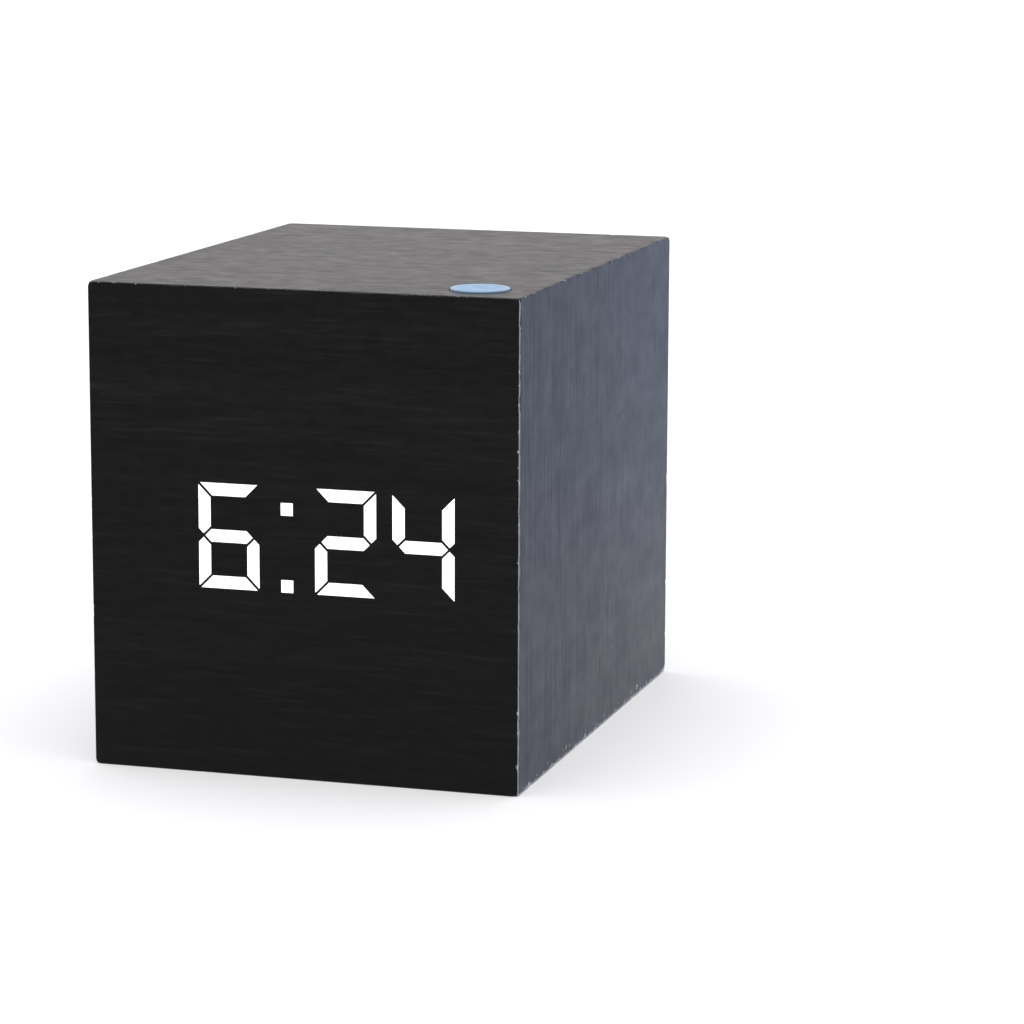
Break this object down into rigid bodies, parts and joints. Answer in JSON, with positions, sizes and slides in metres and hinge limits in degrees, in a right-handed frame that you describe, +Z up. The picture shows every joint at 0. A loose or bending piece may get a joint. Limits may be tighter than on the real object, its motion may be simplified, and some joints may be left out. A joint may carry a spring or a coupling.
{
  "type": "led cube alarm clock",
  "caption": "Cube-like desk alarm clock in black wood-grain panels, with a lit segment display on the front, a round snooze button on top and a back cover with set keys and a battery door.",
  "frame": {"origin": "middle of the base, on the surface that the clock stands on", "axes": "+X to the viewer's right, +Y from the front to the back, +Z up"},
  "size_m": [0.06, 0.078, 0.0663],
  "materials": {
    "wood_film": "black wood-grain film over fibreboard, fine straight grain, satin",
    "fibreboard": "raw fibreboard behind the film",
    "block_wood": "sawn softwood",
    "abs_black": "fine spark texture",
    "reflector_white": "matt white moulding",
    "lens_white": "milky diffuser, lit from behind",
    "led_body": "white package with a phosphor window",
    "board_green": "solder mask over glass-fibre laminate",
    "chip_black": "moulded",
    "capacitor_can": "drawn can on a black base",
    "connector_ivory": "moulded nylon",
    "zinc_steel": "zinc plated",
    "nickel": "nickel plated",
    "cell_wrap": "printed shrink wrap left plain",
    "wire_red": "insulated wire",
    "wire_black": "insulated wire",
    "ribbon_grey": "flat cable",
    "button_blue": "pale blue, satin"
  },
  "bodies": {
    "case": {"front_film": "wood_film", "top_panel": "wood_film", "bottom_panel": "wood_film", "left_panel": "wood_film", "right_panel": "wood_film", "front_panel": "fibreboard", "corner_blocks": "block_wood", "back_cover": "abs_black", "display_reflector": "reflector_white", "leading_one": "lens_white", "hour_digit": "lens_white", "colon_dots": "lens_white", "tens_digit": "lens_white", "units_digit": "lens_white", "segment_leds": "led_body", "display_board": "board_green", "control_board": "board_green", "snooze_board": "board_green", "microcontroller": "chip_black", "buzzer": "chip_black", "rear_switch_bodies": "chip_black", "snooze_switch_body": "chip_black", "usb_socket_tongue": "chip_black", "smoothing_capacitor": "capacitor_can", "display_ribbon_socket": "connector_ivory", "control_ribbon_socket": "connector_ivory", "snooze_spacers": "connector_ivory", "back_cover_screws": "zinc_steel", "display_screws": "zinc_steel", "control_board_screws": "zinc_steel", "snooze_screws": "zinc_steel", "quartz_crystal": "zinc_steel", "usb_socket_shell": "nickel", "cell_contacts": "nickel", "bay_spring": "nickel", "left_cell": "cell_wrap", "right_cell": "cell_wrap", "positive_lead": "wire_red", "negative_lead": "wire_black", "ribbon_cable": "ribbon_grey", "snooze_leads": "ribbon_grey"},
    "snooze_button": {"snooze_cap": "button_blue", "snooze_clip": "zinc_steel", "snooze_switch_plunger": "chip_black"},
    "set_key": {"set_button": "abs_black", "set_switch_plunger": "chip_black"},
    "up_key": {"up_button": "abs_black", "up_switch_plunger": "chip_black"},
    "down_key": {"down_button": "abs_black", "down_switch_plunger": "chip_black"},
    "battery_hatch": {"battery_door": "abs_black", "door_contact": "nickel", "door_spring": "nickel"}
  },
  "joints": [
    {"name": "snooze_press", "type": "slide", "parent": "case", "child": "snooze_button", "axis": [0, 0, -1], "range_m": [0, 0.0005], "stiffness_N_per_m": 500, "springref_m": -0.0004},
    {"name": "set_press", "type": "slide", "parent": "case", "child": "set_key", "axis": [0, -1, 0], "range_m": [0, 0.0005], "stiffness_N_per_m": 500, "springref_m": -0.0004},
    {"name": "up_press", "type": "slide", "parent": "case", "child": "up_key", "axis": [0, -1, 0], "range_m": [0, 0.0005], "stiffness_N_per_m": 500, "springref_m": -0.0004},
    {"name": "down_press", "type": "slide", "parent": "case", "child": "down_key", "axis": [0, -1, 0], "range_m": [0, 0.0005], "stiffness_N_per_m": 500, "springref_m": -0.0004},
    {"name": "battery_door_hinge", "type": "hinge", "parent": "case", "child": "battery_hatch", "pos_m": [0, 0.0366, 0.0099], "axis": [-1, 0, 0], "range_deg": [0, 90]}
  ]
}
